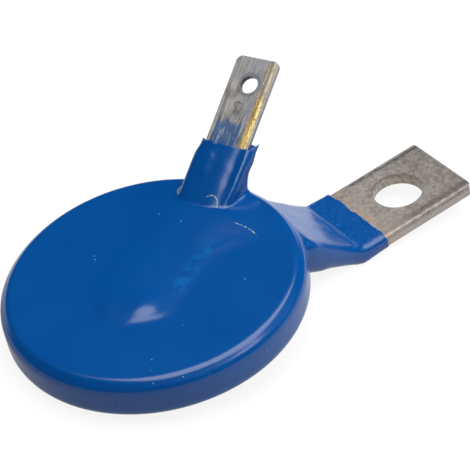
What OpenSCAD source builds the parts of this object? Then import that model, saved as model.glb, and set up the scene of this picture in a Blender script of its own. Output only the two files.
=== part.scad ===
// Disc varistor, dipped in blue coating, with a push-on blade and a bolt-down lug.
//
// Frame: the origin is the centre of the lug's bolt hole, on the face that is
// clamped down. +Z is the bolt's axis, and +X runs from the disc out along the lug.
// The disc's own modules are drawn about the disc's centre and then moved by at_disc().

/* [Ceramic disc] */
// Diameter of the zinc oxide disc
disc_d = 36; // [32:0.5:38]
// Thickness of the zinc oxide disc
disc_t = 3; // [2.4:0.1:3.8]
// Chamfer on both rims of the zinc oxide disc
disc_chamfer = 0.3; // [0.1:0.05:0.6]
// Bare ring of ceramic left around each electrode
electrode_margin = 1.2; // [0.8:0.1:2]
// Thickness of a fired silver electrode
electrode_t = 0.05; // [0.03:0.01:0.1]
// Thickness of the solder between an electrode and its terminal
solder_t = 0.15; // [0.1:0.01:0.25]
// How far the solder spreads past the edge of its terminal
solder_lap = 0.4; // [0.2:0.05:0.8]

/* [Coating] */
// Coating around the edge of the ceramic disc
coat_rim = 1.65; // [1.2:0.05:2.4]
// Coating over each flat face of the ceramic disc
coat_face = 1.25; // [1.1:0.05:1.7]
// Radius of the coated disc's upper edge
coat_round = 1.6; // [1.3:0.1:2.3]
// Radius of the coated disc's lower edge
coat_round_low = 1.5; // [1.2:0.1:2.3]
// Coating over the two feet, where they lie on the disc
ridge_skin = 0.7; // [0.5:0.05:0.9]
// Length over which a ridge rises out of the disc's face
ridge_ramp = 3; // [2:0.1:4]
// How much a sleeve widens where it runs into the disc
flare = 0.6; // [0.4:0.05:1]
// Coating around the blade, clear of the disc
blade_skin = 0.6; // [0.35:0.05:0.8]
// How much farther the coating climbs on the blade's underside than on its face
blade_skin_slant = 1.4; // [0:0.1:2]
// Coating around the lug, clear of the disc
lug_skin = 0.4; // [0.35:0.05:0.7]
// Extra coating that runs together above the lug's slope, at the disc's edge
web_above_lug = 1.05; // [0.8:0.05:1.4]
// Extra coating that hangs below the lug's slope, at the disc's edge
web_below_lug = 1.8; // [1.5:0.1:2.4]
// Extra coating that fills the corner under the rising blade
web_below_blade = 3.8; // [2.6:0.1:4.6]

/* [Blade] */
// Width of the push-on blade
blade_w = 6.35; // [5:0.05:7]
// Thickness of the push-on blade
blade_t = 0.8; // [0.5:0.05:1]
// Diameter of the hole in the blade
blade_hole_d = 2.5; // [1.6:0.1:3]
// From the hole's centre to the blade's tip
blade_hole_inset = 3.85; // [2.5:0.05:5]
// Rounding of the two corners at the blade's tip
blade_corner_r = 0.8; // [0.3:0.1:1.5]
// Width of the bevels along the blade's long edges
blade_bevel_w = 0.75; // [0.4:0.05:1]
// Depth of those bevels
blade_bevel_h = 0.15; // [0.1:0.01:0.25]
// Angle of the blade above the disc's face
blade_rise = 28; // [20:1:35]
// Angle between blade and lug, seen from above
blade_turn = 25.5; // [15:0.5:180]
// From the disc's axis to where the blade lifts off the disc
blade_lift_x = 12.3; // [10:0.1:13]
// Length of the rising part, from the bend to the tip
blade_rise_l = 22.2; // [18:0.1:30]
// How far the blade's foot runs past the disc's axis
blade_heel = 6; // [3:0.5:8]
// Inside radius of the blade's bend
blade_bend_r = 1.2; // [0.8:0.1:2]
// Bare length of the blade, from its tip down to the coating
blade_bare = 12.9; // [11.5:0.1:14]

/* [Lug] */
// Width of the lug
lug_w = 12.7; // [11:0.1:14]
// Thickness of the lug
lug_t = 1.6; // [1.2:0.1:2]
// Diameter of the lug's bolt hole
lug_hole_d = 6.8; // [5.4:0.1:7.2]
// From the disc's axis to the bolt hole's axis
lug_reach = 38.5; // [36:0.5:44]
// From the bolt hole's axis to the lug's end
lug_end = 7.8; // [6:0.1:10]
// Rounding of the two corners at the lug's end
lug_corner_r = 0.9; // [0.4:0.1:2]
// Radius rolled on the lug's upper edges
lug_edge_r = 0.6; // [0.3:0.05:0.8]
// Radius on the lug's lower edges
lug_under_r = 0.15; // [0.1:0.05:0.3]
// How far the lug steps down below its foot under the disc
lug_drop = 5.85; // [4:0.05:7]
// Angle of the lug's slope
lug_slope = 36; // [30:1:45]
// Inside radius of the lug's two bends
lug_bend_r = 1.6; // [1:0.1:2]
// From the disc's axis to the lug's first bend
lug_bend_x = 18.6; // [18:0.1:20]
// How far the lug's foot runs past the disc's axis
lug_heel = 8; // [4:0.5:10]
// Bare length of the lug, from its end back to the coating
lug_bare = 14.9; // [13.5:0.1:16]

/* [Hidden] */

$fn = 64;
ring_n = 36;     // points around one ring of a sleeve
ring_power = 6;  // 2 makes a ring an ellipse, more squares it off
ring_steps = 3;  // rings between two stations of a sleeve
bend_n = 10;     // flats around a bend
cut_over = 1;    // how far a cutter runs past the face it opens

blue = [0.0, 0.31, 0.6];
tin = [0.64, 0.62, 0.59];
silver = [0.85, 0.85, 0.83];
solder_grey = [0.7, 0.71, 0.72];
ceramic_grey = [0.24, 0.24, 0.25];

// Heights above and below the disc's middle plane
face_z = disc_t / 2;
foot_z = face_z + electrode_t + solder_t;     // where a terminal's foot begins
coat_z = face_z + electrode_t + coat_face;    // the coated disc's flat faces
coat_r = disc_d / 2 + coat_rim;               // the coated disc's edge
electrode_r = disc_d / 2 - electrode_margin;
disc_z = foot_z + lug_t + lug_drop;           // the disc's middle plane above the seat

// The lug's two bends and the slope between them, on its middle line
lug_mid_r = lug_bend_r + lug_t / 2;
lug_slope_l = (lug_drop - 2 * lug_mid_r * (1 - cos(lug_slope))) / sin(lug_slope);
lug_run = 2 * lug_mid_r * sin(lug_slope) + lug_slope_l * cos(lug_slope);
lug_flat_x = lug_bend_x + lug_run;            // where the seat's flat begins
lug_flat_l = lug_reach + lug_end - lug_flat_x;
lug_coat_x = lug_reach + lug_end - lug_bare;  // where the coating stops

blade_coat_l = blade_rise_l - blade_bare;     // coated length of the rising part

module at_disc() translate([-lug_reach, 0, disc_z]) children();
module toward_blade() rotate([0, 0, blade_turn]) children();

// ---- terminals: flat strip, bent along its length ----
// A side profile holds the strip's two faces in the XZ plane, and its width lies along Y.

function bend_points(x, z, r, from, to) =
    [for (i = [0 : bend_n]) let (a = from + (to - from) * i / bend_n)
        [x + r * cos(a), z + r * sin(a)]];

module strip(profile, w)
    rotate([90, 0, 0]) linear_extrude(w, center = true) polygon(profile);

// Outline of a strip's end: square at x = 0, two rounded corners at x = l
module end_outline(l, w, r) {
    translate([0, -w / 2]) square([l - r, w]);
    translate([0, -w / 2 + r]) square([l, w - 2 * r]);
    for (y = [-1, 1]) translate([l - r, y * (w / 2 - r)]) circle(r);
}

// Blade: a foot on the upper electrode, one bend, then the rising blade
blade_bend_z = foot_z + blade_t + blade_bend_r;
blade_over_r = blade_bend_r + blade_t;

// A point on the rising blade, at distance l past the bend and r from the bend's centre
function on_blade(l, r) =
    [blade_lift_x + l * cos(blade_rise) + r * sin(blade_rise),
     blade_bend_z + l * sin(blade_rise) - r * cos(blade_rise)];

blade_profile = concat(
    [[-blade_heel, foot_z]],
    bend_points(blade_lift_x, blade_bend_z, blade_over_r, -90, blade_rise - 90),
    [on_blade(blade_rise_l + cut_over, blade_over_r), on_blade(blade_rise_l + cut_over, blade_bend_r)],
    bend_points(blade_lift_x, blade_bend_z, blade_bend_r, blade_rise - 90, -90),
    [[-blade_heel, foot_z + blade_t]]);

// Moves what follows to the rising blade: x = 0 at the bend, z = 0 at its upper face
module along_blade() {
    start = on_blade(0, blade_bend_r);
    translate([start[0], 0, start[1]]) rotate([0, -blade_rise, 0]) children();
}

// What a bevel takes off one corner of the blade's section; y and z pick the corner
module bevel_waste(y, z)
    polygon([for (p = [[-blade_bevel_w, 0], [-blade_bevel_w, cut_over], [cut_over, cut_over],
                       [cut_over, -blade_bevel_h * (1 + cut_over / blade_bevel_w)]])
        [y * (blade_w / 2 + p[0]), z * (blade_t / 2 + p[1])]]);

module blade_strip() {
    back = blade_heel + blade_lift_x + cut_over;
    bevel_x = blade_coat_l * 0.6;
    difference() {
        intersection() {
            strip(blade_profile, blade_w);
            along_blade() translate([-back, 0, -back])
                linear_extrude(2 * back) end_outline(back + blade_rise_l, blade_w, blade_corner_r);
        }
        along_blade() {
            translate([blade_rise_l - blade_hole_inset, 0, -blade_t - cut_over])
                cylinder(d = blade_hole_d, h = blade_t + 2 * cut_over);
            translate([bevel_x, 0, -blade_t / 2]) rotate([90, 0, 90])
                linear_extrude(blade_rise_l) for (y = [-1, 1], z = [-1, 1]) bevel_waste(y, z);
        }
    }
}

// Lug: a foot under the lower electrode, a slope down, then the flat seat
lug_outer_r = lug_bend_r + lug_t;
lug_fall_z = -foot_z - lug_outer_r;         // centre of the upper bend
lug_level_z = -foot_z - lug_drop + lug_bend_r; // centre of the lower bend
lug_seam_x = lug_coat_x - 1;                // square edges before it, rounded ones past it
lug_round = min(lug_edge_r, lug_t * 0.48);

lug_profile = concat(
    [[-lug_heel, -foot_z]],
    bend_points(lug_bend_x, lug_fall_z, lug_outer_r, 90, 90 - lug_slope),
    bend_points(lug_flat_x, lug_level_z, lug_bend_r, -90 - lug_slope, -90),
    [[lug_seam_x, -foot_z - lug_drop], [lug_seam_x, -foot_z - lug_drop - lug_t]],
    bend_points(lug_flat_x, lug_level_z, lug_outer_r, -90, -90 - lug_slope),
    bend_points(lug_bend_x, lug_fall_z, lug_bend_r, 90 - lug_slope, 90),
    [[-lug_heel, -foot_z - lug_t]]);

// Section of the lug's bare end: upper corners of radius r, lower ones of radius low
module rolled_section(w, t, r, low) {
    translate([-w / 2, -t / 2 + low]) square([w, t - r - low]);
    translate([-w / 2 + r, -t / 2 + low]) square([w - 2 * r, t - low]);
    translate([-w / 2 + low, -t / 2]) square([w - 2 * low, t - r]);
    for (x = [-1, 1]) {
        translate([x * (w / 2 - r), t / 2 - r]) circle(r);
        translate([x * (w / 2 - low), -t / 2 + low]) circle(low);
    }
}

// The lug's bare end, with rolled long edges and the bolt hole
module lug_seat() {
    l = lug_reach + lug_end - lug_seam_x;
    difference() {
        intersection() {
            rotate([90, 0, 90]) linear_extrude(l) rolled_section(lug_w, lug_t, lug_round, lug_under_r);
            translate([0, 0, -lug_t]) linear_extrude(2 * lug_t)
                end_outline(l, lug_w, lug_corner_r);
        }
        translate([l - lug_end, 0, -lug_t / 2 - cut_over])
            cylinder(d = lug_hole_d, h = lug_t + 2 * cut_over);
    }
}

module lug_strip() {
    strip(lug_profile, lug_w);
    translate([lug_seam_x, 0, -foot_z - lug_drop - lug_t / 2]) lug_seat();
}

module blade_terminal() color(tin) at_disc() toward_blade() blade_strip();
module lug_terminal() color(tin) at_disc() lug_strip();

// ---- ceramic disc, electrodes and solder ----

module disc_shape() {
    rim_h = disc_t - 2 * disc_chamfer;
    cylinder(d = disc_d, h = rim_h, center = true);
    for (side = [0, 1]) mirror([0, 0, side]) translate([0, 0, rim_h / 2])
        cylinder(d1 = disc_d, d2 = disc_d - 2 * disc_chamfer, h = disc_chamfer);
}

module electrode_shape(side)
    mirror([0, 0, side]) translate([0, 0, face_z]) cylinder(r = electrode_r, h = electrode_t);

// Solder under a foot that runs from -heel to reach, no wider than the electrode
module solder_shape(side, heel, reach, w)
    mirror([0, 0, side]) translate([0, 0, face_z + electrode_t])
        intersection() {
            translate([-heel - solder_lap, -w / 2 - solder_lap, 0])
                cube([heel + reach + solder_lap, w + 2 * solder_lap, solder_t]);
            cylinder(r = electrode_r, h = solder_t);
        }

module upper_solder_shape()
    toward_blade() solder_shape(0, blade_heel, blade_lift_x, blade_w);
module lower_solder_shape()
    solder_shape(1, lug_heel, lug_bend_x, lug_w);

module ceramic_disc() color(ceramic_grey) at_disc() disc_shape();
module upper_electrode() color(silver) at_disc() electrode_shape(0);
module lower_electrode() color(silver) at_disc() electrode_shape(1);
module upper_solder() color(solder_grey) at_disc() upper_solder_shape();
module lower_solder() color(solder_grey) at_disc() lower_solder_shape();

// ---- sleeves of coating, lofted along the terminals ----
// A station is [x, z, tilt, half width, half height] of one ring, whose plane
// stands upright at tilt 0 and leans back with the strip as tilt grows.

function power(v, p) = sign(v) * pow(abs(v), p);
function ring_point(st, a) =
    let (y = st[3] * power(cos(a), 2 / ring_power), up = st[4] * power(sin(a), 2 / ring_power))
    [st[0] - up * sin(st[2]), y, st[1] + up * cos(st[2])];
function ring(st) = [for (i = [0 : ring_n - 1]) ring_point(st, 360 * i / ring_n)];

// A smooth curve through four stations, from the second to the third
function between(a, b, c, d, t) =
    0.5 * (2 * b + (c - a) * t + (2 * a - 5 * b + 4 * c - d) * t * t
           + (3 * b - a - 3 * c + d) * t * t * t);
function station(list, i) = list[max(0, min(len(list) - 1, i))];
function smooth(list) =
    [for (i = [0 : len(list) - 2], k = [0 : ring_steps - 1])
        between(station(list, i - 1), list[i], list[i + 1], station(list, i + 2), k / ring_steps),
     list[len(list) - 1]];

module loft(stations) {
    rings = smooth(stations);
    last = len(rings) - 1;
    polyhedron(
        points = [for (st = rings) each ring(st)],
        faces = [
            [for (i = [0 : ring_n - 1]) i],
            for (s = [0 : last - 1], i = [0 : ring_n - 1])
                let (a = s * ring_n + i, b = s * ring_n + (i + 1) % ring_n)
                each [[a, a + ring_n, b], [b, a + ring_n, b + ring_n]],
            [for (i = [ring_n - 1 : -1 : 0]) last * ring_n + i]
        ]);
}

// A ring between two heights, upright at x
function upright(x, low, high, half_w) = [x, (low + high) / 2, 0, half_w, (high - low) / 2];

// A ring across the rising blade, at distance l past its bend
function across_blade(l, above, below, half_w) =
    let (mid = on_blade(l, blade_bend_r + (blade_t + below - above) / 2))
    [mid[0], mid[1], blade_rise, half_w, (blade_t + above + below) / 2];

// How far the lug has stepped down at x, between two corners of one of its faces
function lug_down(x, x1, x2) = lug_drop * max(0, min(1, (x - x1) / (x2 - x1)));
lug_tan = tan(lug_slope / 2);
function lug_top(x) =
    -foot_z - lug_down(x, lug_bend_x + lug_outer_r * lug_tan, lug_flat_x - lug_bend_r * lug_tan);
function lug_under(x) =
    -foot_z - lug_t - lug_down(x, lug_bend_x + lug_bend_r * lug_tan, lug_flat_x - lug_outer_r * lug_tan);

// What is left of a web at x, whole at the disc's edge and gone where the lug is flat
function web_left(x) = max(0, min(1, (lug_flat_x - x) / (lug_flat_x - coat_r)));

// A ring around the sloping lug, with the webs that run to the disc
function around_lug(x, widen) =
    upright(x, lug_under(x) - lug_skin - web_below_lug * web_left(x),
            lug_top(x) + lug_skin + web_above_lug * web_left(x),
            lug_w / 2 + lug_skin + widen);

// The slanted ring where the coating stops on the blade
function blade_lip() =
    let (face = on_blade(blade_coat_l, blade_bend_r - blade_skin),
         under = on_blade(blade_coat_l + blade_skin_slant, blade_over_r + blade_skin),
         up = face - under)
    [(face[0] + under[0]) / 2, (face[1] + under[1]) / 2, atan2(-up[0], up[1]),
     blade_w / 2 + blade_skin, norm(up) / 2];

// The coating over the blade's foot and up round the blade
module blade_sleeve() {
    w = blade_w / 2 + blade_skin;
    top = foot_z + blade_t + ridge_skin;
    l = blade_coat_l;
    loft([
        upright(-blade_heel - ridge_ramp, 0, coat_z - ridge_skin / 4, w - flare),
        upright(-blade_heel, 0, top - ridge_skin / 4, w),
        upright(0, 0, top, w),
        upright(blade_lift_x - ridge_ramp, 0, top, w),
        across_blade(l * 0.1, blade_skin * 1.1, blade_skin * 2, w),
        across_blade(l * 0.5, blade_skin, blade_skin * 1.1, w),
        across_blade(l * 0.9, blade_skin, blade_skin, w),
        blade_lip()
    ]);
}

// The web that hangs between the blade's underside and the disc's edge
module blade_web() {
    w = blade_w / 2 + blade_skin * 0.45;
    l = blade_coat_l;
    loft([
        upright(blade_lift_x - ridge_ramp, 0, coat_z, w + flare * 0.6),
        across_blade(l * 0.14, 0, web_below_blade, w + flare * 0.8),
        across_blade(l * 0.4, 0, web_below_blade * 0.9, w + flare * 0.6),
        across_blade(l * 0.6, 0, web_below_blade * 0.58, w + flare / 4),
        across_blade(l * 0.75, 0, web_below_blade * 0.34, w),
        across_blade(l * 0.95, 0, web_below_blade * 0.2, w)
    ]);
}

module lug_sleeve() {
    w = lug_w / 2 + lug_skin;
    low = -foot_z - lug_t - ridge_skin;
    slope_x = (coat_r + lug_flat_x) / 2;
    loft([
        upright(-lug_heel - ridge_ramp, -coat_z + ridge_skin / 4, 0, w - flare),
        upright(-lug_heel - ridge_ramp / 4, low + ridge_skin / 6, 0, w + flare / 2),
        upright(0, low, 0, w + flare / 2),
        upright(lug_bend_x - 2 * ridge_ramp, low, 0, w + flare / 2),
        upright(lug_bend_x - ridge_ramp / 3, low - web_below_lug * 0.4, 0, w + flare * 0.8),
        around_lug(coat_r + ridge_ramp * 0.1, flare * 0.8),
        around_lug(coat_r + ridge_ramp * 0.7, flare / 2),
        around_lug(slope_x + ridge_ramp / 3, flare / 8),
        around_lug(lug_flat_x - ridge_ramp * 0.7, 0),
        around_lug(lug_flat_x - ridge_ramp * 0.2, 0),
        around_lug(lug_flat_x + ridge_ramp / 3, 0),
        around_lug(lug_coat_x, 0)
    ]);
}

// The coated disc alone: a flat puck with rounded edges
module coated_disc()
    rotate_extrude($fn = 128) intersection() {
        for (edge = [[-1, coat_round_low], [1, coat_round]]) {
            side = edge[0];
            r = edge[1];
            translate([0, (side - 1) / 2 * coat_z]) square([coat_r - r, coat_z]);
            translate([0, (side - 1) / 2 * (coat_z - r)]) square([coat_r, coat_z - r]);
            translate([coat_r - r, side * (coat_z - r)]) circle(r);
        }
        translate([0, -coat_z]) square([coat_r, 2 * coat_z]);
    }

module coating() color(blue) at_disc() difference() {
    union() {
        coated_disc();
        toward_blade() blade_sleeve();
        toward_blade() blade_web();
        lug_sleeve();
    }
    disc_shape();
    for (side = [0, 1]) electrode_shape(side);
    upper_solder_shape();
    lower_solder_shape();
    toward_blade() blade_strip();
    lug_strip();
}

coating();
ceramic_disc();
upper_electrode();
lower_electrode();
upper_solder();
lower_solder();
blade_terminal();
lug_terminal();
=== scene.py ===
# %% [markdown]
# # A disc varistor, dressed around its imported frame
# The part is a ceramic disc that was dipped in blue epoxy. A blade rises from its upper face
# and a stepped lug runs out from under it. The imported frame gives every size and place, so the
# script starts by loading it, and everything below is built around it in metres.

import bmesh
import bpy
import math
import numpy as np
from mathutils import Matrix, Vector, noise


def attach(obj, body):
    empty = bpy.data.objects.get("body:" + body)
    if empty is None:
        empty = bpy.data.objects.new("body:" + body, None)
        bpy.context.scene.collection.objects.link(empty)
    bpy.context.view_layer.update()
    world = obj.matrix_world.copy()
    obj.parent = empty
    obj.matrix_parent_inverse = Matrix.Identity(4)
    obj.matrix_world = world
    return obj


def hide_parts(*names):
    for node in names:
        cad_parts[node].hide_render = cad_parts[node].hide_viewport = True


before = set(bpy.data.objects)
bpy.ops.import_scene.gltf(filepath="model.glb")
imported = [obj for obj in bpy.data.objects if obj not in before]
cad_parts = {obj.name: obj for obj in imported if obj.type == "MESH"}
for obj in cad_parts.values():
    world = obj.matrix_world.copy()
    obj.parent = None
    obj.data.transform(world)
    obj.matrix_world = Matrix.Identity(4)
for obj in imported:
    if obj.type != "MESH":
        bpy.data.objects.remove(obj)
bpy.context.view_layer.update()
print("frame:", sorted(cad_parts))

# %% [markdown]
# ## The camera
# A long lens looks down on the disc from the left, rolled a little, so the lug runs off to the
# upper right. A camera's own axes are a plain way to place it: right, up, and away from the view.

# %% Place the camera
EYE = Vector((-0.12386, -0.18979, 0.19255))
RIGHT = Vector((0.80167, -0.57429, -0.16585))
UP = Vector((0.48473, 0.46221, 0.74256))
LENS = 167.44


def add_camera():
    lens = bpy.data.cameras.new("camera")
    lens.lens, lens.sensor_width, lens.clip_start, lens.clip_end = LENS, 36, 0.01, 50
    camera = bpy.data.objects.new("camera", lens)
    turn = Matrix((RIGHT, UP, RIGHT.cross(UP))).transposed().to_4x4()
    camera.matrix_world = Matrix.Translation(EYE) @ turn
    bpy.context.scene.collection.objects.link(camera)
    bpy.context.scene.camera = camera
    return camera


camera = add_camera()
print("camera:", camera.name, "with a lens of", round(camera.data.lens, 2), "mm")

# %% [markdown]
# ## Shader helpers
# A finish is easier to read as a sum than as a web of nodes. A small class wraps a socket and
# turns +, - and * into Math nodes, and one method adds any other node. The alternative, a node
# and two links for each small sum, hides what a finish is made of.

# %% A wrapped socket


class Value:
    """A number that varies over a surface; operators on it add Math nodes."""

    def __init__(self, shader, socket):
        self.shader, self.socket = shader, socket

    def math(self, operation, *others):
        return self.shader.node("ShaderNodeMath", [self, *others], operation=operation)

    def __add__(self, other):
        return self.math("ADD", other)

    def __sub__(self, other):
        return self.math("SUBTRACT", other)

    def __mul__(self, other):
        return self.math("MULTIPLY", other)

    def __rsub__(self, other):
        return self.shader.node("ShaderNodeMath", [other, self], operation="SUBTRACT")

    __radd__, __rmul__ = __add__, __mul__

    def twin(self, output):
        """Another output of the node that this one comes from."""
        return Value(self.shader, self.socket.node.outputs[output])

    def above(self, level, soft):
        """0 below the level and 1 above it, over a soft step."""
        return self.shader.step(self, level - soft / 2, level + soft / 2)

    def below(self, level, soft):
        return self.shader.step(self, level + soft / 2, level - soft / 2)


print("a wrapped socket adds its own Math nodes")

# %% One material and the nodes it needs


class Shader:
    """A new material, or a world, with short ways to add nodes in front of its surface node."""

    def __init__(self, name, blocks=None, surface="Principled BSDF", **constants):
        self.material = (bpy.data.materials if blocks is None else blocks).new(name)
        self.material.use_nodes = True
        self.tree = self.material.node_tree
        self.surface = self.tree.nodes[surface]
        self.set(**constants)

    def node(self, kind, inputs=(), out=0, **settings):
        """Adds a node: settings first, then sockets by number or name, then its output."""
        made = self.tree.nodes.new(kind)
        for key, value in settings.items():
            setattr(made, key, value)
        pairs = inputs.items() if isinstance(inputs, dict) else enumerate(inputs)
        for socket, value in pairs:
            self.join(value, made.inputs[socket])
        return Value(self, made.outputs[out])

    def join(self, value, socket):
        if isinstance(value, Value):
            self.tree.links.new(value.socket, socket)
        else:
            socket.default_value = value

    def set(self, **values):
        """Sets or feeds sockets of the surface node, named with _ for a space."""
        for socket, value in values.items():
            self.join(value, self.surface.inputs[socket.replace("_", " ")])

    def place(self, origin=(0, 0, 0), turn=(0, 0, 0)):
        """Object coordinates, as seen from a point and turned to the piece's own axes."""
        if not hasattr(self, "coords"):
            self.coords = self.node("ShaderNodeTexCoord", out="Object")
        return self.node("ShaderNodeMapping", {"Vector": self.coords, "Location": origin,
                                               "Rotation": turn}, vector_type="TEXTURE")

    def axes(self, place):
        """The three numbers of a place, in millimetres."""
        split = self.node("ShaderNodeSeparateXYZ", [place])
        return [split.twin(axis) * 1000.0 for axis in "XYZ"]

    def step(self, value, low, high):
        return self.node("ShaderNodeMapRange", {"Value": value, "From Min": low, "From Max": high},
                         interpolation_type="SMOOTHSTEP")

    def grain(self, place, size_mm, detail=2.0, rough=0.5, stretch=(1, 1, 1)):
        """Soft noise from 0 to 1, whose lumps are about size_mm wide."""
        stretched = self.node("ShaderNodeVectorMath", [place, stretch], operation="DIVIDE")
        return self.node("ShaderNodeTexNoise", {"Vector": stretched, "Scale": 1000.0 / size_mm,
                                                "Detail": detail, "Roughness": rough})

    def specks(self, place, size_mm, radius):
        """Round specks, one to a cell of size_mm, 1 inside and 0 outside."""
        spread = self.node("ShaderNodeTexVoronoi", {"Vector": place, "Scale": 1000.0 / size_mm})
        return spread.below(radius, radius * 0.6)

    def mix(self, factor, first, second):
        """Colour that goes from the first to the second as the factor rises."""
        return self.node("ShaderNodeMix", {0: factor, 6: first, 7: second}, out=2,
                         data_type="RGBA", clamp_factor=True)

    def paint(self, colour, *marks):
        """Lays marks over a colour, each one a mask and the colour it brings."""
        for mask, mark_colour in marks:
            colour = self.mix(mask, colour, mark_colour)
        return colour

    def bump(self, height, strength, distance_mm):
        return self.node("ShaderNodeBump", {"Height": height, "Strength": strength,
                                            "Distance": distance_mm / 1000.0})


def rgb(red, green, blue):
    """A display colour, 0 to 255 a channel, as the linear colour a shader needs."""
    linear = [c / 12.92 if c <= 0.04045 else ((c + 0.055) / 1.055) ** 2.4
              for c in (red / 255, green / 255, blue / 255)]
    return (*linear, 1.0)


print("shader helpers ready")

# %% [markdown]
# ## Mesh helpers
# Pieces are drawn in millimetres around the disc's centre, where the sizes are easy to read,
# and moved to the frame at the end. The disc's axis stands behind the lug's bolt hole.

# %% Places and small tools
MM = 0.001
LUG_REACH, DISC_Z = 38.5, 9.15
AT_DISC = Matrix.Translation((-LUG_REACH * MM, 0, DISC_Z * MM)) @ Matrix.Scale(MM, 4)
BLADE_TURN = math.radians(25.5)


def put(name, bm):
    """Turns a finished bmesh into an object of the scene."""
    mesh = bpy.data.meshes.new(name)
    bm.to_mesh(mesh)
    bm.free()
    thing = bpy.data.objects.new(name, mesh)
    bpy.context.scene.collection.objects.link(thing)
    return thing


def settle(thing):
    """Applies an object's modifiers to its mesh."""
    graph = bpy.context.evaluated_depsgraph_get()
    done = bpy.data.meshes.new_from_object(thing.evaluated_get(graph))
    thing.modifiers.clear()
    thing.data = done
    return thing


def merged_copy(node):
    """A copy of a CAD node as one joined surface, drawn like the other pieces."""
    bm = bmesh.new()
    bm.from_mesh(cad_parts[node].data)
    bmesh.ops.remove_doubles(bm, verts=bm.verts, dist=1e-6)
    bmesh.ops.dissolve_limit(bm, verts=bm.verts, edges=bm.edges, angle_limit=math.radians(0.5))
    return bm


print("disc centre:", [round(v, 5) for v in AT_DISC.translation])

# %% [markdown]
# ## The dipped coating
# The disc and its two terminals are lowered into liquid epoxy, which runs round every edge,
# climbs a little way up the metal and hardens with a soft meniscus in each corner. One way to
# make that is to model each sleeve by hand and fillet it; a closer one is to make plain bodies,
# melt them into one skin with a voxel remesh, and then let the hollows fill as liquid does.

# %% The sizes of the dip
COAT_R, COAT_Z = 19.76, 2.8
UPPER_ROUND, LOWER_ROUND = (2.4, 1.5), (1.5, 1.5)
FOOT_Z = 1.7


def rounded_corner(side, wide, high, steps=12):
    """Points of a quarter ellipse, from the flat face out to the rim."""
    angles = [math.pi / 2 * i / steps for i in range(steps + 1)]
    return [(COAT_R - wide + wide * math.sin(a), side * (COAT_Z - high + high * math.cos(a)))
            for a in angles]


def coated_disc():
    """A puck with rounded edges: half its outline, spun about z."""
    bm = bmesh.new()
    outline = ([(0, COAT_Z)] + rounded_corner(1, *UPPER_ROUND)
               + rounded_corner(-1, *LOWER_ROUND)[::-1] + [(0, -COAT_Z)])
    verts = [bm.verts.new((x, 0, z)) for x, z in outline]
    edges = [bm.edges.new(pair) for pair in zip(verts, verts[1:])]
    bmesh.ops.spin(bm, geom=verts + edges, axis=(0, 0, 1), cent=(0, 0, 0), angle=math.tau,
                   steps=160, use_merge=True)
    bmesh.ops.remove_doubles(bm, verts=bm.verts, dist=1e-4)
    bmesh.ops.recalc_face_normals(bm, faces=bm.faces)
    return bm


print("coated disc:", 2 * COAT_R, "mm across and", 2 * COAT_Z, "mm thick")

# %% [markdown]
# ## Sleeves along the metal
# Where a terminal leaves the disc, the coating wraps it as a sleeve whose section changes all the
# way: low and wide on the disc, then a snug tube. A curve with a bevel keeps one section, so it
# can't do that. Pushing one rounded face from ring to ring can, because every ring has a place,
# a lean, a width and a height of its own.

# %% Sleeves, pushed from ring to ring


def ring(x, z, tilt, half_w, half_h, aside=0.0):
    """Where a unit square stands as one ring of a sleeve."""
    across = Matrix(((0, 0, 1, 0), (1, 0, 0, 0), (0, 1, 0, 0), (0, 0, 0, 1)))
    return (Matrix.Translation((x, aside, z)) @ Matrix.Rotation(-tilt, 4, "Y") @ across
            @ Matrix.Diagonal((half_w, half_h, 1, 1)))


def upright(x, low, high, half_w, aside=0.0):
    return ring(x, (low + high) / 2, 0, half_w, (high - low) / 2, aside)


def sleeve(rings, shape, turn=0.0):
    """A closed tube: a rounded face, whose shape is half width, half height and corner
    radius, is stretched to a unit square and then extruded through every ring."""
    half_w, half_h, corner = shape
    bm = bmesh.new()
    bmesh.ops.create_grid(bm, x_segments=1, y_segments=1, size=1)
    bmesh.ops.scale(bm, vec=(half_w, half_h, 1), verts=bm.verts)
    bmesh.ops.bevel(bm, geom=bm.verts[:], offset=corner, offset_type="OFFSET", segments=7,
                    profile=0.5, affect="VERTICES", material=-1)
    face = bm.faces[:][0]
    last = Matrix.Diagonal((half_w, half_h, 1, 1))
    for number, place in enumerate(rings):
        bmesh.ops.transform(bm, matrix=place @ last.inverted(), verts=face.verts)
        if number < len(rings) - 1:
            grown = bmesh.ops.extrude_face_region(bm, geom=[face])["geom"]
            face = [g for g in grown if isinstance(g, bmesh.types.BMFace)][0]
        last = place
    bmesh.ops.rotate(bm, matrix=Matrix.Rotation(turn, 3, "Z"), cent=(0, 0, 0), verts=bm.verts)
    bmesh.ops.recalc_face_normals(bm, faces=bm.faces)
    return bm


print("a sleeve is one face, pushed from ring to ring")

# %% [markdown]
# ## Round the blade
# Four bodies make the neck. The sleeve wraps the strip, and the web hangs below it down to the
# disc's edge, as a dip does in an inside corner. The bead is the roll that surface tension pulls
# together along the near edge, and the fin is a thin flap outside it. They could be sculpted into
# one form, but as four bodies each keeps a few rings that are easy to move.

# %% Rings along the blade
BLADE_W, BLADE_T, BLADE_RISE = 6.35, 0.8, math.radians(28)
BLADE_LIFT, BLADE_BEND, BLADE_COATED = 12.3, 1.2, 9.3
BLADE_BEND_Z = FOOT_Z + BLADE_T + BLADE_BEND


def on_blade(along, out):
    """A point of the rising blade, past its bend and out from the bend's centre."""
    c, s = math.cos(BLADE_RISE), math.sin(BLADE_RISE)
    return BLADE_LIFT + along * c + out * s, BLADE_BEND_Z + along * s - out * c


def across_blade(along, above, below, half_w, aside=0.0):
    x, z = on_blade(along, BLADE_BEND + (BLADE_T + below - above) / 2)
    return ring(x, z, BLADE_RISE, half_w, (BLADE_T + above + below) / 2, aside)


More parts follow.
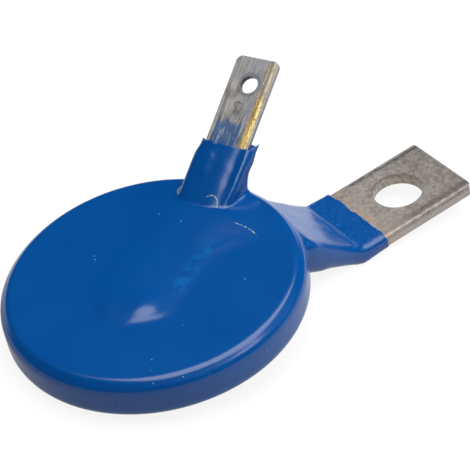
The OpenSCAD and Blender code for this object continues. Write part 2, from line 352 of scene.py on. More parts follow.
def strap_sleeve():
    """The coating round the rising blade, run on past its lip so that it can be cut there."""
    w, aside = BLADE_W / 2 + 0.3, 0.35
    wide, over = w + 0.2, aside + 0.2
    return sleeve([
        upright(7.5, 0.4, 2.5, w - 0.6, aside), upright(10, 0.4, 2.95, w - 0.1, aside + 0.1),
        across_blade(0, 0.66, 0.65, wide, over), across_blade(3, 0.66, 0.62, wide, over),
        across_blade(7.8, 0.64, 0.6, wide, over), across_blade(9.2, 0.64, 0.6, w, aside),
        across_blade(12.5, 0.64, 0.6, w, aside)], (1.25, 1.0, 0.9), BLADE_TURN)


def edge_bead():
    """The roll of coating along the blade's near edge, parted from the face by a groove."""
    rings = [across_blade(along, out, 0.5, half_w, -BLADE_W / 2 - aside)
             for along, out, half_w, aside in (
                 (-1.5, 0.1, 0.5, -0.35), (1.5, 0.34, 0.6, -0.15), (4, 0.5, 0.64, 0.12),
                 (7, 0.52, 0.62, 0.22), (12.5, 0.5, 0.6, 0.22))]
    return sleeve(rings, (0.64, 0.9, 0.6), BLADE_TURN)


def blade_web():
    """The coating that hangs between the underside of the blade and the disc's edge."""
    w, reach = BLADE_W / 2 + 0.25, BLADE_COATED
    return sleeve([
        upright(9.5, 0, 2.7, w + 0.1), across_blade(reach * 0.14, -0.2, 3.8, w + 0.2, 0.15),
        across_blade(reach * 0.4, -0.2, 3.4, w + 0.35, -0.1),
        across_blade(reach * 0.6, -0.2, 2.2, w + 0.25, -0.25),
        across_blade(reach * 0.75, -0.2, 1.3, w + 0.15, -0.25),
        across_blade(reach * 0.95, -0.2, 0.8, w, -0.2)], (w, 2.0, 0.9), BLADE_TURN)


def lip_fin():
    """A thin flap that the dip left outside the bead, which runs on past the lip."""
    low = BLADE_BEND + BLADE_T + 0.35
    side = -BLADE_W / 2 - 0.6
    points = [(-5.0, 0.4, 0.3, 0.5), (-3.0, 0.15, 0.34, 0.6), (-1.2, -0.1, 0.36, 0.55),
              (0.2, -0.2, 0.34, 0.5), (1.2, -0.34, 0.3, 0.42), (2.2, -0.52, 0.26, 0.36),
              (3.2, -0.6, 0.24, 0.3)]
    rings = []
    for along, out, half_w, half_h in points:
        x, z = on_blade(BLADE_COATED + along, low - 0.25)
        rings.append(ring(x, z, BLADE_RISE, half_w, half_h, side + out))
    return sleeve(rings, (0.3, 0.4, 0.25), BLADE_TURN)


print("blade lip:", [round(v, 2) for v in on_blade(BLADE_COATED, BLADE_BEND)], "mm")

# %% [markdown]
# ## Round the lug
# The lug runs out under the disc, slopes down and levels off at its seat. The coating fills the
# corner above the slope and sags below it. The same pushed face follows it, and how deep each web
# hangs is worked out from how far the slope still has to run, so the two stay in step.

# %% Rings along the lug
LUG_W, LUG_T, LUG_DROP = 12.7, 1.6, 5.85
LUG_SLOPE = math.radians(36)
LUG_BEND_X, LUG_BEND = 18.6, 1.6
LUG_COAT_X, LUG_SKIN = 31.4, 0.4
WEB_ABOVE, WEB_BELOW = 1.05, 1.8
LUG_MID = LUG_BEND + LUG_T / 2
LUG_FLAT_X = (LUG_BEND_X + 2 * LUG_MID * math.sin(LUG_SLOPE)
              + (LUG_DROP - 2 * LUG_MID * (1 - math.cos(LUG_SLOPE))) / math.tan(LUG_SLOPE))


def lug_down(x, start, stop):
    return LUG_DROP * max(0.0, min(1.0, (x - start) / (stop - start)))


def around_lug(x, wider, hang=0.0):
    """A ring round the sloping lug, with the webs that run up and down to the disc."""
    t = math.tan(LUG_SLOPE / 2)
    outer = LUG_BEND + LUG_T
    top = -FOOT_Z - lug_down(x, LUG_BEND_X + outer * t, LUG_FLAT_X - LUG_BEND * t)
    under = -FOOT_Z - LUG_T - lug_down(x, LUG_BEND_X + LUG_BEND * t, LUG_FLAT_X - outer * t)
    web = max(0.0, min(1.0, (LUG_FLAT_X - x) / (LUG_FLAT_X - COAT_R)))
    return upright(x, under - LUG_SKIN - hang - WEB_BELOW * web,
                   top + LUG_SKIN + WEB_ABOVE * web, LUG_W / 2 + LUG_SKIN + wider)


def lug_sleeve():
    w, low = LUG_W / 2 + LUG_SKIN, -FOOT_Z - LUG_T - 0.6
    slope_x = (COAT_R + LUG_FLAT_X) / 2
    return sleeve([
        upright(-11, -2.65, 0, w - 0.6), upright(-8.75, low + 0.1, 0, w + 0.3),
        upright(0, low, 0, w + 0.3), upright(12.6, low, 0, w + 0.3),
        upright(17.6, low - 0.88, 0, w + 0.48),
        around_lug(COAT_R + 0.3, 0.48), around_lug(COAT_R + 2.1, 0.3),
        around_lug(slope_x + 1, 0), around_lug(LUG_FLAT_X - 2.1, -0.1, 0.06),
        around_lug(LUG_FLAT_X - 0.6, -0.08, 0.14), around_lug(LUG_FLAT_X + 1, -0.05, 0.12),
        around_lug(LUG_COAT_X - 1, -0.1), around_lug(LUG_COAT_X + 1.5, -0.15)],
        (LUG_W / 2 + LUG_SKIN, 1.4, 1.0))


print("lug flat begins at", round(LUG_FLAT_X, 2), "mm")

# %% [markdown]
# ## One skin
# Wet epoxy has no seams, so the bodies have to become one skin. A boolean union would keep their
# sharp meeting lines and its uneven faces would smooth badly. A voxel remesh gives even faces all
# over, at the cost of melting everything finer than a voxel, so it comes first and the fine forms
# come after it.

# %% Melt the bodies into one skin
VOXEL = 0.25


def join_bodies(*bodies):
    """One bmesh that holds several closed bodies."""
    whole = bmesh.new()
    for body in bodies:
        part = bpy.data.meshes.new("part")
        body.to_mesh(part)
        body.free()
        whole.from_mesh(part)
        bpy.data.meshes.remove(part)
    return whole


def melt(name, bm):
    thing = put(name, bm)
    skin = thing.modifiers.new("melt", "REMESH")
    skin.mode, skin.voxel_size = "VOXEL", VOXEL
    return settle(thing)


coat = melt("dip_coating", join_bodies(coated_disc(), strap_sleeve(), edge_bead(), blade_web(),
                                       lip_fin(), lug_sleeve()))
print("skin:", len(coat.data.vertices), "points")

# %% [markdown]
# ## Fillets that flow
# Liquid creeps into a hollow and leaves an outer edge as it is. A bevel would round both. So the
# skin is smoothed with one rule added: a point may rise out of the skin but never sink into it.
# The hollows fill up and the crests stay. Masks hold it back where a crease stayed crisp, such as
# the groove beside the bead, and repeat it where a corner filled deep.

# %% Smooth, but only upwards


def read_points(mesh, what="co"):
    """Every point's place, or its normal, as one row each."""
    rows = np.zeros(len(mesh.vertices) * 3)
    mesh.vertices.foreach_get(what, rows)
    return rows.reshape(-1, 3)


def move_points(mesh, points):
    mesh.vertices.foreach_set("co", points.ravel())
    mesh.update()


def relax(mesh, passes, fill_only, weight=1.0):
    """Moves points halfway to their neighbours' middle; fill_only keeps them from sinking."""
    points = read_points(mesh)
    count = len(points)
    pairs = np.zeros(len(mesh.edges) * 2, int)
    mesh.edges.foreach_get("vertices", pairs)
    a, b = pairs.reshape(-1, 2).T
    ends, others = np.concatenate([a, b]), np.concatenate([b, a])
    degree = np.bincount(ends, minlength=count)[:, None]
    share = 0.5 * np.broadcast_to(weight, count)[:, None]
    for _ in range(passes):
        middle = np.stack([np.bincount(ends, points[others, k], count) for k in range(3)], 1)
        move = middle / degree - points
        if fill_only:
            move_points(mesh, points)
            normals = read_points(mesh, "normal")
            rise = (move * normals).sum(1, keepdims=True)
            move = move - normals * np.minimum(rise, 0)
        points = points + move * share
    move_points(mesh, points)


print("relax moves", len(coat.data.vertices), "points at a time")

# %% Places and masks on the skin


def soft_step(values, low, high):
    """0 at low and 1 at high, with soft ends."""
    t = np.clip((values - low) / (high - low), 0, 1)
    return t * t * (3 - 2 * t)


def along_foot(points):
    """How far each point lies along the blade's foot and to its side."""
    c, s = math.cos(BLADE_TURN), math.sin(BLADE_TURN)
    return points[:, 0] * c + points[:, 1] * s, points[:, 1] * c - points[:, 0] * s


def blade_place(points):
    """Each point up the blade, across it and out of its face."""
    c, s = math.cos(BLADE_RISE), math.sin(BLADE_RISE)
    ct, st = math.cos(BLADE_TURN), math.sin(BLADE_TURN)
    x, z = on_blade(0, BLADE_BEND)
    local = points - np.array((x * ct, x * st, z))
    return local @ np.array(((ct * c, st * c, s), (-st, ct, 0), (-ct * s, -st * s, c))).T


highest = blade_place(read_points(coat.data))[:, 0].max()
print("the skin runs", round(float(highest), 1), "mm up the blade before its lip is cut")

# %% Let the hollows fill


def near_blade(points):
    """Masks of the groove beside the bead, and of the near and far sides of the blade's foot."""
    up, across, out = blade_place(points).T
    groove = soft_step(up, 1.0, 3.0) * (1 - soft_step(across, -2.0, -0.8)) * soft_step(out, -0.9, 0)
    along, side = along_foot(points)
    low = soft_step(along, 10.5, 12) * (1 - soft_step(points[:, 2], 4.0, 5.5))
    return groove, (1 - soft_step(side, 0, 2)) * low, soft_step(side, 2.4, 3.2) * low


melted = read_points(coat.data)
groove, near_side, far_side = near_blade(melted)
lug_slope = soft_step(melted[:, 0], 20.5, 22) * (1 - soft_step(melted[:, 0], 24.5, 27.5))
upper_face = soft_step(melted[:, 2], 2.3, 2.7)
relax(coat.data, 3, False)
relax(coat.data, 30, True, weight=1 - np.maximum(0.9 * groove, 0.75 * near_side))
relax(coat.data, 50, True, weight=far_side)
relax(coat.data, 30, False, weight=lug_slope)
relax(coat.data, 3, False)
filled = np.linalg.norm(read_points(coat.data) - melted, axis=1)
print("hollows filled by up to", round(float(filled.max()), 2), "mm")

# %% [markdown]
# ## The swell over the foot
# The blade's foot lies 0.3 mm under the disc's face. The coating drapes over it in a long, low
# swell that deepens toward the rising blade, with a lump over one corner of the foot's end. It is
# far too low to model as a body and melt in, because a voxel is nearly as high, so the upper face
# is lifted by a height field instead. A second pass adds the slow waves that the skin hardened
# with, because a gloss shows even a hundredth of a millimetre.

# %% Raise the skin over the blade's buried foot
# STEEPEST is the slope of the swell's flanks. The lump is given as along the foot, to its side,
# how wide and how high.
FOOT_SWELL, NECK_SWELL, STEEPEST = 0.35, 0.35, 0.09
CORNER_LUMP = (-5.3, -2.1, 1.3, 0.26)


def raise_swell(mesh):
    """Lifts the disc's upper face to the swell wherever it lies lower."""
    points = read_points(mesh)
    along, side = along_foot(points)
    crest = FOOT_SWELL * soft_step(along, -10.0, -5.3) + NECK_SWELL * soft_step(along, 4.5, 14)
    flank = 1 - soft_step(np.abs(side), 1.2, 1.2 + 1.5 * np.maximum(crest, 0.1) / STEEPEST)
    inland = 1 - soft_step(np.hypot(points[:, 0], points[:, 1]), 12.5, 18.9)
    lift = crest * flank * inland
    there, aside, wide, high = CORNER_LUMP
    lift += high * np.exp(-((along - there) ** 2 + (side - aside) ** 2) / wide ** 2 / 2)
    level = COAT_Z + lift
    blend = 0.35 * np.minimum(1, lift / 0.1) * (1 - 0.85 * soft_step(along, 9, 11)) + 1e-6
    close = np.clip(1 - np.abs(points[:, 2] - level) / blend, 0, 1)
    raised = np.maximum(points[:, 2], level) + close ** 2 * blend / 4
    points[:, 2] += (raised - points[:, 2]) * soft_step(points[:, 2], 2.3, 2.72)
    move_points(mesh, points)


raise_swell(coat.data)
relax(coat.data, 3, False, weight=upper_face)
print("swell:", FOOT_SWELL, "mm over the foot,", FOOT_SWELL + NECK_SWELL, "mm at the neck")

# %% Slow waves in the skin


def noise_at(points, size, seed=0.0):
    """Soft noise from about -1 to 1 at each point, with lumps about size wide."""
    shift = Vector((seed, seed * 1.7, seed * 0.3))
    return np.array([noise.noise(Vector(p) / size + shift) for p in points])


def unsettle(mesh):
    """Gives the skin the slow waves that running epoxy hardens with, mostly off the disc, and
    one run down the blade's face."""
    points = read_points(mesh)
    off_disc = np.maximum(soft_step(points[:, 2], 3.8, 4.8), soft_step(points[:, 0], 19.8, 22))
    wave = 0.01 * noise_at(points, 3.5) + 0.045 * off_disc * noise_at(points, 2.4, 5.0)
    in_bend = soft_step(points[:, 0], 25.6, 26.8) * (1 - soft_step(points[:, 0], 28, 29.4))
    wave += 0.012 * in_bend * np.sin(points[:, 0] * 6 + 3 * noise_at(points, 4.0, 9.0))
    up, across, out = blade_place(points).T
    sag = soft_step(up, 3.5, 5.5) * (1 - soft_step(up, 7.2, 8.6)) * soft_step(out, -0.2, 0.4)
    wave += 0.13 * sag * np.exp(-((across - 1.3) / 0.5) ** 2 / 2)
    points += read_points(mesh, "normal") * wave[:, None]
    move_points(mesh, points)
    return wave


waves = unsettle(coat.data)
print("waves up to", round(float(np.abs(waves).max()), 3), "mm")

# %% [markdown]
# ## The two lips
# The dip stops at a ragged line on each terminal, and the skin ends there with a crisp broken
# edge. Moving the skin's own points would only give steps a voxel wide. A boolean cut with a
# block whose front face is frayed by noise leaves an edge as fine as that face.

# %% A frayed block to cut with
FRAY_STEP = 0.16


def cut(thing, cutter):
    """Takes a closed body away from a piece."""
    knife = thing.modifiers.new("cut", "BOOLEAN")
    knife.operation, knife.solver, knife.object = "DIFFERENCE", "EXACT", cutter
    settle(thing)
    bpy.data.objects.remove(cutter)


def frayed_block(name, size, far, edge, matrix):
    """A block from a frayed face, whose x is edge(y, z) in its own axes, to x = far."""
    bm = bmesh.new()
    counts = [round(2 * length / FRAY_STEP) for length in size]
    bmesh.ops.create_grid(bm, x_segments=counts[0], y_segments=counts[1], size=1)
    for vert in bm.verts:
        y, z = vert.co.x * size[0], vert.co.y * size[1]
        vert.co = (edge(y, z), y, z)
    grown = bmesh.ops.extrude_face_region(bm, geom=bm.faces[:])["geom"]
    for vert in grown:
        if isinstance(vert, bmesh.types.BMVert):
            vert.co.x = far
    bmesh.ops.recalc_face_normals(bm, faces=bm.faces)
    bmesh.ops.transform(bm, matrix=matrix, verts=bm.verts)
    return put(name, bm)


print("a frayed face has a point every", FRAY_STEP, "mm")

# %% Cut the two lips, frayed as a dip leaves them


def ease(value, low, high):
    """soft_step for one number."""
    return float(soft_step(np.array(value), low, high))


def blade_edge(y, z):
    """Where the skin ends up the blade: level on its face, farther on its underside."""
    rag = 0.2 * noise.noise(Vector((y, z, 3)) / 1.2) + 0.14 * noise.noise(Vector((y, z, 5)) / 0.4)
    fin = ease(-y, 3.6, 4.3) * (0.35 + 0.9 * noise.noise(Vector((y, z, 9)) / 0.35))
    corner = 0.5 * ease(y, 2.9, 3.4)
    return BLADE_COATED + 1.5 * ease(-z, -0.2, 1.4) * ease(-y, -4, 4) + rag + fin + corner


def lug_edge(y, z):
    """Where the skin ends on the lug, level but for its rag."""
    return noise.noise(Vector((y, z, 7)) / 1.3) * 0.24 + noise.noise(Vector((y, z, 8)) / 0.4) * 0.2


bend_x, bend_z = on_blade(0, BLADE_BEND)
blade_axes = (Matrix.Rotation(BLADE_TURN, 4, "Z") @ Matrix.Translation((bend_x, 0, bend_z))
              @ Matrix.Rotation(-BLADE_RISE, 4, "Y"))
cut(coat, frayed_block("blade end", (6, 3.5), 16, blade_edge, blade_axes))
lug_axes = Matrix.Translation((LUG_COAT_X, 0, -LUG_DROP - FOOT_Z - LUG_T / 2))
cut(coat, frayed_block("lug end", (9, 3), 8, lug_edge, lug_axes))
print("lips cut, the skin has", len(coat.data.polygons), "faces")

# %% [markdown]
# ## A shell, and not a lump
# The coating is a shell that the ceramic, the solder and the terminals fill exactly. Cutting it
# by copies of those seven pieces makes that true, and gives the lips their real thickness.

# %% Hollow it round what it seals in
INSIDE = ["ceramic_disc", "upper_electrode", "lower_electrode", "upper_solder",
          "lower_solder", "blade_terminal", "lug_terminal"]
bpy.context.view_layer.update()
coat.data.transform(AT_DISC)
for node in INSIDE:
    cut(coat, put("cutter", merged_copy(node)))
print("coating:", len(coat.data.polygons), "faces")

# %% Shade it smooth, with its lips crisp


def shade(thing, angle):
    mesh = thing.data
    mesh.polygons.foreach_set("use_smooth", [True] * len(mesh.polygons))
    mesh.set_sharp_from_angle(angle=math.radians(angle))


shade(coat, 50)
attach(coat, "root")
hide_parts("coating")
print(coat.name, "stands for the frame's coating")

# %% [markdown]
# ## The blue finish
# Dipped epoxy is one deep pigment under a gloss that roughens where the skin runs thin. Over the
# lug's flat it is too thin to level out, so it stays matt and grainy. Handling leaves dust and
# two short scuffs. Painted images could carry all that, but a melted skin has no map to lay them
# on. Masks worked out from object coordinates need none, so a few helpers draw each kind of mark.

# %% Marks that more than one finish uses


def within(value, low, high, soft):
    """1 between two levels, with soft ends."""
    return value.above(low, soft) * value.below(high, soft)


def from_centre(x, y, centre=(0, 0)):
    """How far each point lies from a centre along x, along y and straight across."""
    dx, dy = x - centre[0], y - centre[1]
    return dx, dy, (dx * dx + dy * dy).math("SQRT")


def arc_scratch(x, y, centre, radius, width, cut_line):
    """A thin arc about a centre, kept where a * dx + b * dy is above the line's third number."""
    dx, dy, far = from_centre(x, y, centre)
    thin = (far - radius).math("ABSOLUTE").below(width, width * 0.8)
    return thin * (dx * cut_line[0] + dy * cut_line[1]).above(cut_line[2], 0.3)


print("mark helpers ready")

# %% Deep blue epoxy
# Each scuff is an arc: its centre, radius, width and the line it is cut off at.
SCUFFS = (((-25.72, 4.75), 1.0, 0.08, (1.0, 0.0, 0.25)),
          ((-30.26, -3.10), 5.68, 0.08, (0.978, 0.208, 5.42)))
ABOVE_DISC, THIN_FROM = 11.7, -11.0


def scuff_marks(x, y, z, fine):
    first, second = [arc_scratch(x, y, *scuff) for scuff in SCUFFS]
    return (first + second) * z.above(ABOVE_DISC, 0.2) * fine.above(0.49, 0.16)


def dust_specks(s, place):
    small, large = s.specks(place, 2.1, 0.05), s.specks(s.place((0.01, 0.02, 0)), 6.0, 0.026)
    return (small + large) * s.grain(place, 5.0, detail=1.0).above(0.47, 0.06)


def sheen_over_foot(s, place):
    """Painted sheen: lighter patches along the near edge of the blade's buried foot."""
    along, side, _ = s.axes(s.place((-LUG_REACH * MM, 0, 0), (0, 0, BLADE_TURN)))
    thin = within(along, -2.5, 8.0, 3.0) * within(side, -5.6, -3.9, 1.6)
    return thin * s.grain(place, 1.4, detail=3.0).above(0.55, 0.25)


def blue_epoxy():
    s = Shader("blue_epoxy", Specular_IOR_Level=0.6)
    place = s.place()
    x, y, z = s.axes(place)
    cloud = s.grain(place, 7.0)
    fine = s.grain(place, 0.22, detail=3.0, rough=0.7)
    flat_lug = x.above(THIN_FROM, 0.9) * z.above(LUG_T - 0.05, 0.4)
    dust, scuffs = dust_specks(s, place), scuff_marks(x, y, z, fine)
    colour = s.paint(s.mix(cloud, rgb(0, 68, 136), rgb(0, 75, 145)),
                     # painted sheen: lighter patches along the near edge of the blade's buried foot
                     (sheen_over_foot(s, place) * 0.45, rgb(10, 108, 184)),
                     # light speckles on the lug's flat: partly grain, partly painted glints; the dark
                     # ones are grain
                     (flat_lug * fine.above(0.6, 0.1) * 0.6, rgb(10, 125, 205)),
                     (flat_lug * fine.below(0.4, 0.1) * 0.6, rgb(0, 50, 110)),
                     (dust * 0.5, rgb(120, 175, 225)),
                     (scuffs * 0.75, rgb(165, 190, 175)))
    ripple, peel = s.grain(place, 1.8, detail=1.5), s.grain(place, 0.3, detail=2.0)
    s.set(Base_Color=colour,
          Roughness=0.165 + cloud * 0.05 + flat_lug * 0.04 + scuffs * 0.3 + dust * 0.3,
          Normal=s.bump(ripple * 0.2 + fine * flat_lug * 0.6 + peel * 0.13, 0.5, 0.1))
    return s.material


coat.data.materials.clear()
coat.data.materials.append(blue_epoxy())
print("blue epoxy:", len(coat.data.materials[0].node_tree.nodes), "nodes")

# %% [markdown]
# ## Tin over the lug's copper
# The lug is thick copper strip under a matt coat of tin: warm grey and mottled at two scales.
# Painted shade lines each edge where it rolls over, its lower faces are painted lighter than its
# top, and the bolt hole has a paler wall with painted shade round part of its rim. Copper shows
# only beside the dip. A fully metallic shader would turn black wherever the room is dark, so the
# tin is given half its colour by diffuse light, as a rough matt plate has.

# %% Tinned copper
BOLT_R = 3.4


def rolled_edge_shade(s, place, x, y, broken):
    """Painted shade where the edges roll: a broken dark line on the far one, a softer band near."""
    waver = (s.grain(place, 1.4, detail=3.0) - 0.5) * 0.9
    # painted shade where the strip's long edges roll over
    line = within(y + waver * 0.7, 5.3, 5.62, 0.3) * x.above(-4.5, 3.0) * broken.above(0.42, 0.2)
    band = within(y + waver * 0.3, -5.8, -4.8, 0.7) * x.above(-3.0, 7.0)
    return (line * 0.85, rgb(62, 57, 55)), (band * 0.5, rgb(72, 66, 62))


def bolt_hole_wall_and_rim_shade(x, y, z, coarse, broken):
    """The hole's paler wall, mottled dark, and painted shade round part of its rim."""
    far = from_centre(x, y)[2]
    wall = far.below(BOLT_R + 0.02, 0.04)
    rim = within(far, BOLT_R, BOLT_R + 0.22, 0.12) * z.above(LUG_T - 0.15, 0.1)
    return ((wall * (0.3 + coarse * 0.5), rgb(206, 194, 176)),
            (wall * broken.below(0.48, 0.16) * 0.45, rgb(92, 84, 76)),
            # painted shade round part of the hole's rim
            (rim * (x * 0.5 + y).above(0.5, 2.0) * 0.6, rgb(88, 78, 70)))


def tinned_copper():
    s = Shader("tinned_copper", Metallic=0.45)
    place = s.place()
    x, y, z = s.axes(place)
    fine = s.grain(place, 0.16, detail=3.0, rough=0.75)
    coarse = s.grain(place, 0.6, detail=4.0, rough=0.6)
    broken = s.grain(place, 0.8, detail=3.0, rough=0.7)
    tone = fine * 0.65 + coarse * 0.35 + s.grain(place, 3.0, detail=2.0) * 0.12
    bare = x.below(-5.2, 2.6) * broken.above(0.56, 0.12)
    tin = s.mix((tone - x * 0.005).above(0.56, 0.32), rgb(98, 92, 88), rgb(178, 171, 164))
    colour = s.paint(tin, *rolled_edge_shade(s, place, x, y, broken),
                     # painted light: the strip's lower faces are painted lighter than its top
                     (z.below(LUG_T - 0.45, 0.7) * 0.6, rgb(196, 186, 178)),
                     *bolt_hole_wall_and_rim_shade(x, y, z, coarse, broken),
                     (bare * 0.6, rgb(196, 138, 104)))
    s.set(Base_Color=colour, Roughness=0.42 + coarse * 0.15,
          Normal=s.bump(fine * 0.6 + coarse * 0.6, 0.6, 0.03))
    return s.material


copper_finish = tinned_copper()
print("tinned copper:", len(copper_finish.node_tree.nodes), "nodes")

# %% [markdown]
# ## Worn tin over the blade's brass
# The blade's brass was tinned and then sheared, so its near bevel shows bare gold metal, and flux
# has stained its face blue past the lip. The marks follow the strip, which rises and turns, so
# they are drawn in axes of its own: from its bend, x runs up the blade, y across it and z out of
# its face. A Mapping node does that turn, and the mesh needs no map.

# %% Tinned brass
BLADE_HOLE_X, BLADE_HOLE_R = 18.35, 1.25
BEVEL_INNER, BEVEL_OUTER = -1.95, -2.74


def worn_tin(s, x, y, fine, drawn, cloud):
    """Grey tin, drawn along the strip, that turns bluish toward the tip's near corner."""
    tone = fine * 0.35 + drawn * 0.35 + cloud * 0.35 + x * 0.008
    bluish = cloud.above(0.45, 0.2) * (y * -0.5 + x * 0.25).above(4.2, 2.0)
    return s.paint(s.mix(tone.above(0.65, 0.26), rgb(116, 114, 115), rgb(207, 202, 197)),
                   (bluish * 0.5, rgb(106, 124, 152)))


def flux_stain(x, y, fine, drawn):
    """The stain that ran up the face past the lip."""
    stain = (x + drawn * 3.4 - 1.7).below(12.8, 1.0) * within(y + fine * 0.6, -1.0, 2.9, 0.6)
    return stain * (0.45 + drawn * 0.8)


def face_scratches(x, y, fine, drawn):
    """Pale drawn streaks, and a small hooked scratch below the hole."""
    pale = drawn.above(0.58, 0.06) * fine.above(0.45, 0.1) * x.below(14.0, 3.0)
    hook = arc_scratch(x, y, (15.3, 0.5), 0.4, 0.14, (0.7, 0.7, -0.15))
    return (pale * 0.5, rgb(206, 212, 212)), (hook * fine.above(0.4, 0.2) * 0.6, rgb(40, 62, 92))


def bare_brass(x, z, edge, drawn, cloud):
    """Where tin is worn off the near bevel: all of it low down, and two lines farther up."""
    worn = within(edge, BEVEL_OUTER, BEVEL_INNER, 0.14) * (x + cloud * 5.0 - edge * 2.0).below(23.2, 2.6)
    lines = within(edge, -2.06, -1.9, 0.1) + within(edge, -2.7, -2.58, 0.1)
    gold = (worn + lines * drawn.above(0.44, 0.16) * 0.8).math("MINIMUM", 1.0)
    return gold * z.above(-0.5, 0.1)


def bevel_marks(s, place, z, edge, gold, fine, drawn):
    """The bevel's dull ground, the gold on it and the pits in the gold."""
    dull = s.mix(fine, rgb(92, 78, 66), rgb(166, 152, 134))
    leaf = s.mix((fine * 0.6 + drawn * 0.4).above(0.5, 0.16), rgb(142, 102, 44), rgb(255, 228, 136))
    return ((edge.below(-2.0, 0.2) * z.above(-0.5, 0.1) * 0.6, dull), (gold * 0.9, leaf),
            (gold * s.specks(place, 0.7, 0.16) * 0.7, rgb(96, 66, 30)))


def far_edge_highlight_and_dark_wall(x, y, drawn):
    """A painted highlight inside the far edge, and a darker far wall."""
    streak = within(y, 2.7, 3.05, 0.15) * x.below(17.0, 3.0) * drawn.above(0.42, 0.15)
    # painted highlight along the far edge, and the far wall painted darker
    return (streak * 0.6, rgb(250, 236, 226)), (y.above(3.1, 0.06) * 0.5, rgb(92, 74, 58))


def blade_hole_ring_and_shade(x, y):
    """A bluish ring round the hole, and painted shade on its wall."""
    far = from_centre(x, y, (BLADE_HOLE_X, 0))[2]
    ring_mark = within(far, BLADE_HOLE_R - 0.05, BLADE_HOLE_R + 0.5, 0.4)
    return ((ring_mark * 0.4, rgb(70, 76, 92)),
            # painted shade: the wall inside the hole is painted dark
            (far.below(BLADE_HOLE_R + 0.02, 0.03) * 0.85, rgb(40, 38, 42)))


def tinned_brass():
    s = Shader("tinned_brass")
    place = s.place(AT_DISC @ blade_axes.translation, (0, -BLADE_RISE, BLADE_TURN))
    x, y, z = s.axes(place)
    fine = s.grain(place, 0.15, detail=3.0, rough=0.7)
    drawn = s.grain(place, 0.35, detail=4.0, rough=0.65, stretch=(9, 1, 1))
    cloud = s.grain(place, 2.2, detail=3.0)
    edge = y + (drawn - 0.5) * 0.5 + (fine - 0.5) * 0.25
    stain, gold = flux_stain(x, y, fine, drawn), bare_brass(x, z, edge, drawn, cloud)
    colour = s.paint(worn_tin(s, x, y, fine, drawn, cloud), (stain, rgb(0, 80, 134)),
                     *face_scratches(x, y, fine, drawn),
                     *bevel_marks(s, place, z, edge, gold, fine, drawn),
                     *far_edge_highlight_and_dark_wall(x, y, drawn), *blade_hole_ring_and_shade(x, y))
    s.set(Base_Color=colour, Metallic=0.5 + gold * 0.2 - stain * 0.35,
          Roughness=0.34 + cloud * 0.12 + gold * 0.05,
          Normal=s.bump(drawn * 0.6 + fine * 0.4, 0.5, 0.02))
    return s.material


brass_finish = tinned_brass()
print("tinned brass:", len(brass_finish.node_tree.nodes), "nodes")

# %% [markdown]
# ## The strips themselves
# Stamped strip never has a razor edge, and a render without that thin bright line along each edge
# looks like paper. The frame's own meshes are loose triangles, so a joined copy stands for each.
# It gets a bevel of a few hundredths of a millimetre, with normals weighted toward the large
# faces so that they stay flat.

# %% Dress the two terminals


def finish_terminal(node, name, material):
    """A joined copy of the CAD strip whose cut edges are broken by a small bevel."""
    thing = put(name, merged_copy(node))
    shade(thing, 30)
    edge = thing.modifiers.new("edge", "BEVEL")
    edge.width, edge.segments, edge.limit_method = 0.06 * MM, 2, "ANGLE"
    edge.angle_limit = math.radians(40)
    thing.modifiers.new("flat faces", "WEIGHTED_NORMAL").keep_sharp = True
    settle(thing)
    thing.data.materials.clear()
    thing.data.materials.append(material)
    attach(thing, "root")
    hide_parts(node)
    return thing


blade = finish_terminal("blade_terminal", "push_on_blade", brass_finish)
lug = finish_terminal("lug_terminal", "bolt_lug", copper_finish)
for strip in (blade, lug):
    print(strip.name, "has", len(strip.data.polygons), "faces")

# %% [markdown]
# ## What the coating seals in
# Inside are the sintered zinc oxide disc, matt and dark, a fired silver electrode on each face of
# it, and the solder that holds the terminals. Nothing of them shows, but a part that is opened
# or cut in half should look right too. The frame's own solids have the right shape already, so
# each only gets a mottled finish at the scale of its grain.

# %% Inner pieces


def plain(name, dark, light, size_mm, metallic, roughness):
    s = Shader(name, Metallic=metallic, Roughness=roughness)
    mottle = s.grain(s.place(), size_mm, detail=4.0)
    s.set(Base_Color=s.mix(mottle, rgb(*dark), rgb(*light)), Normal=s.bump(mottle, 0.2, 0.02))
    return s.material


SILVER = ((205, 205, 200), (225, 224, 220), 0.2, 1.0, 0.5)
SOLDER = ((165, 167, 170), (190, 191, 193), 0.5, 1.0, 0.4)
INNER = {
    "ceramic_disc": plain("sintered_zinc_oxide", (52, 52, 54), (66, 66, 68), 0.3, 0.0, 0.8),
    "upper_electrode": plain("fired_silver_upper", *SILVER),
    "lower_electrode": plain("fired_silver_lower", *SILVER),
    "upper_solder": plain("solder_upper", *SOLDER),
    "lower_solder": plain("solder_lower", *SOLDER),
}
for node, material in INNER.items():
    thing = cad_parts[node]
    thing.data.materials.clear()
    thing.data.materials.append(material)
print("inner pieces:", len(INNER))

# %% [markdown]
# ## The floor
# The part rests on its lug and on the coating under the disc, which reaches lower, so it leans a
# little. It stays as it is modelled, and the floor leans instead. The floor is a matt grey that
# the camera sees as white but for the part's shadow. A gloss mirrors it too, and a floor that is
# white all over would wash the blue out, so what gloss sees of it is dim on the near left and
# bright beyond the lug. That goes by place on the floor, and stays the same from any side.

# %% A pale floor
FLOOR_AT, FLOOR_TILT = (-0.009, 0, -0.00056), math.radians(8.24)
BLACK, WHITE = rgb(0, 0, 0), rgb(255, 255, 255)


def floor_glow(s):
    """What the floor shows to the camera, to gloss and through glass, and how much of it."""
    ray = s.node("ShaderNodeLightPath")
    glossy = ray.twin("Is Glossy Ray")
    seen = ray.twin("Is Camera Ray") * 0.8 + glossy + ray.twin("Is Transmission Ray") * 0.4
    x, y, _ = s.axes(s.place())
    bright = x.above(-45.0, 50.0) * 0.3 + (x * 0.3 + y).above(9.0, 14.0) * 0.3 + 0.4
    colour = s.mix(glossy, WHITE, s.mix(bright, BLACK, WHITE))
    glow = s.node("ShaderNodeEmission", {"Color": colour, "Strength": 1.1})
    return seen.math("MINIMUM", 1.0), glow


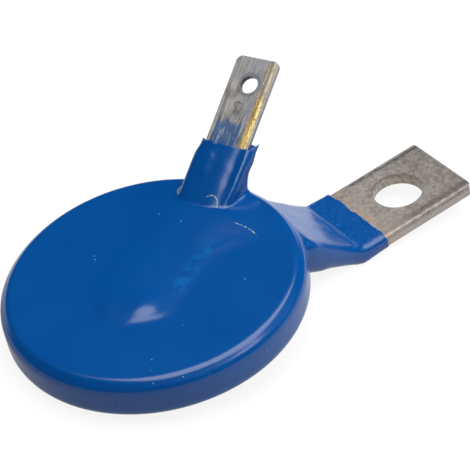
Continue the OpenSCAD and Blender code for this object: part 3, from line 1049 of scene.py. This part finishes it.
def pale_floor():
    bm = bmesh.new()
    bmesh.ops.create_grid(bm, x_segments=1, y_segments=1, size=6)
    floor = put("floor", bm)
    floor.data.transform(Matrix.Translation(FLOOR_AT) @ Matrix.Rotation(FLOOR_TILT, 4, "Y"))
    s = Shader("white_floor", Base_Color=(0.6, 0.6, 0.6, 1), Roughness=0.9, Specular_IOR_Level=0.1)
    seen, glow = floor_glow(s)
    blend = s.node("ShaderNodeMixShader", [seen, Value(s, s.surface.outputs[0]), glow])
    s.join(blend, s.tree.nodes["Material Output"].inputs["Surface"])
    floor.data.materials.append(s.material)
    return floor


floor = pale_floor()
print(floor.name, "leans by", round(math.degrees(FLOOR_TILT), 2), "degrees")

# %% [markdown]
# ## The light
# One large soft box stands high behind the lug. Its reflection is the pale patch on the disc,
# and its edge is set so that the rest of the flat face mirrors a dark room and keeps its deep
# blue. A second box lights the sides only, so gloss doesn't see it. The room itself is even and
# dim for matt colour. For gloss it is nearly black, but for a pale backdrop low down.

# %% Soft boxes and the room
AIM = Vector((-0.03, 0, 0.005))


def soft_box(name, where, size, power):
    light = bpy.data.lights.new(name, "AREA")
    light.shape, light.size, light.size_y, light.energy = "RECTANGLE", size[0], size[1], power
    box = bpy.data.objects.new(name, light)
    box.location = where
    box.rotation_euler = (AIM - Vector(where)).to_track_quat("-Z", "Y").to_euler()
    bpy.context.scene.collection.objects.link(box)
    return box


def dim_room():
    """A world whose backdrop begins where a ray sinks below a slightly leaning horizon."""
    s = Shader("room", bpy.data.worlds, "Background", Color=WHITE)
    ray = s.node("ShaderNodeSeparateXYZ", [s.node("ShaderNodeTexCoord", out="Generated")])
    height = ray.twin("Y") * -0.2 + ray.twin("Z")
    backdrop = s.step(height, 0.0, -0.2) * 1.096 + 0.004
    glossy = s.node("ShaderNodeLightPath", out="Is Glossy Ray")
    s.set(Strength=glossy * backdrop + (1 - glossy) * 0.17)
    return s.material


overhead = soft_box("overhead", (0.14, -0.06, 0.6), (0.72, 0.7), 5.6)
side = soft_box("side", (0.5, -0.25, 0.22), (0.3, 0.3), 1.6)
side.visible_glossy = False
bpy.context.scene.world = dim_room()
bpy.context.scene.view_settings.view_transform = "Standard"
for box in (overhead, side):
    print(box.name, "gives", round(box.data.energy, 1), "W")
